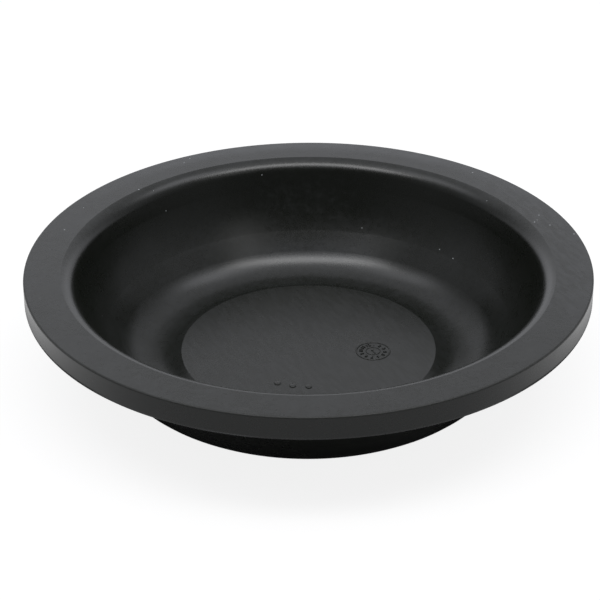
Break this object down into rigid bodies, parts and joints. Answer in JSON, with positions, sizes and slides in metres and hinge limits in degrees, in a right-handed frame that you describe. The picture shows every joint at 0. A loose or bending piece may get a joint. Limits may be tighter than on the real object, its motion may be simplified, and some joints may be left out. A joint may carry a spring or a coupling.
{
  "type": "hydraulic breaker diaphragm",
  "caption": "Moulded rubber bowl diaphragm with a thick flat clamping rim and a raised central disc, parting gas from oil in a hydraulic breaker.",
  "frame": {"origin": "centre of the flat base, on the plane it rests on", "axes": "+Z along the axis, from the base up to the open mouth of the bowl; +X and +Y are alike, because the part is round"},
  "size_m": [0.2, 0.2, 0.0414],
  "materials": {
    "rubber": "satin, lightly dusty, moulded"
  },
  "bodies": {
    "root": {"diaphragm": "rubber"}
  },
  "joints": []
}
